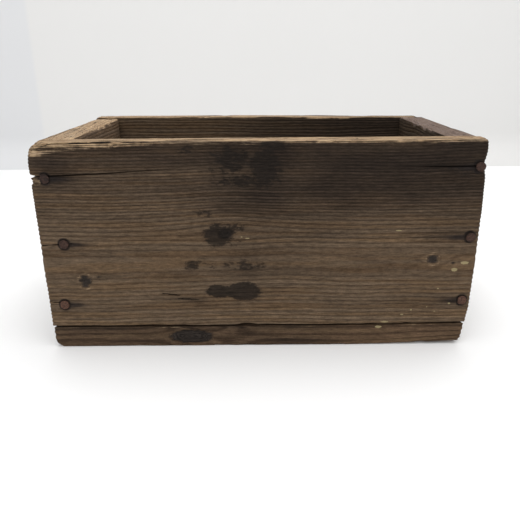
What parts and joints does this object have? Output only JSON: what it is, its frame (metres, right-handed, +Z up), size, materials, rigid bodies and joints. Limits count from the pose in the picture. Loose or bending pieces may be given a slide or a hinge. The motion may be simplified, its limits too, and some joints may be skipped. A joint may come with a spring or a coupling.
{
  "type": "wooden apple crate",
  "caption": "Open-topped rectangular crate of rough-sawn boards nailed together: two long side boards, two thick end boards and a boarded bottom, for picking and storing fruit.",
  "frame": {"origin": "middle of the crate's footprint, on the surface that the bottom boards stand on", "axes": "+X along the crate's length, +Y from the front side board to the back side board, +Z up out of the open top"},
  "size_m": [0.46, 0.274, 0.227],
  "materials": {
    "side_board": "grey-brown weathered softwood with raised grain",
    "end_board": "brown weathered softwood, worn to bare tan wood along the top",
    "bottom_board": "dark weathered softwood, rough sawn",
    "nail": "purple-brown rust, matt"
  },
  "bodies": {
    "root": {"back_board": "side_board", "back_nail_left_bottom": "nail", "back_nail_left_middle": "nail", "back_nail_left_top": "nail", "back_nail_right_bottom": "nail", "back_nail_right_middle": "nail", "back_nail_right_top": "nail", "bottom_board_back": "bottom_board", "bottom_board_front": "bottom_board", "bottom_board_middle": "bottom_board", "bottom_nail_back_edge_1": "nail", "bottom_nail_back_edge_2": "nail", "bottom_nail_back_edge_3": "nail", "bottom_nail_front_edge_1": "nail", "bottom_nail_front_edge_2": "nail", "bottom_nail_front_edge_3": "nail", "bottom_nail_left_back_1": "nail", "bottom_nail_left_back_2": "nail", "bottom_nail_left_front_1": "nail", "bottom_nail_left_front_2": "nail", "bottom_nail_left_middle_1": "nail", "bottom_nail_left_middle_2": "nail", "bottom_nail_right_back_1": "nail", "bottom_nail_right_back_2": "nail", "bottom_nail_right_front_1": "nail", "bottom_nail_right_front_2": "nail", "bottom_nail_right_middle_1": "nail", "bottom_nail_right_middle_2": "nail", "front_board": "side_board", "front_nail_left_bottom": "nail", "front_nail_left_middle": "nail", "front_nail_left_top": "nail", "front_nail_right_bottom": "nail", "front_nail_right_middle": "nail", "front_nail_right_top": "nail", "left_end_board": "end_board", "right_end_board": "end_board"}
  },
  "joints": []
}
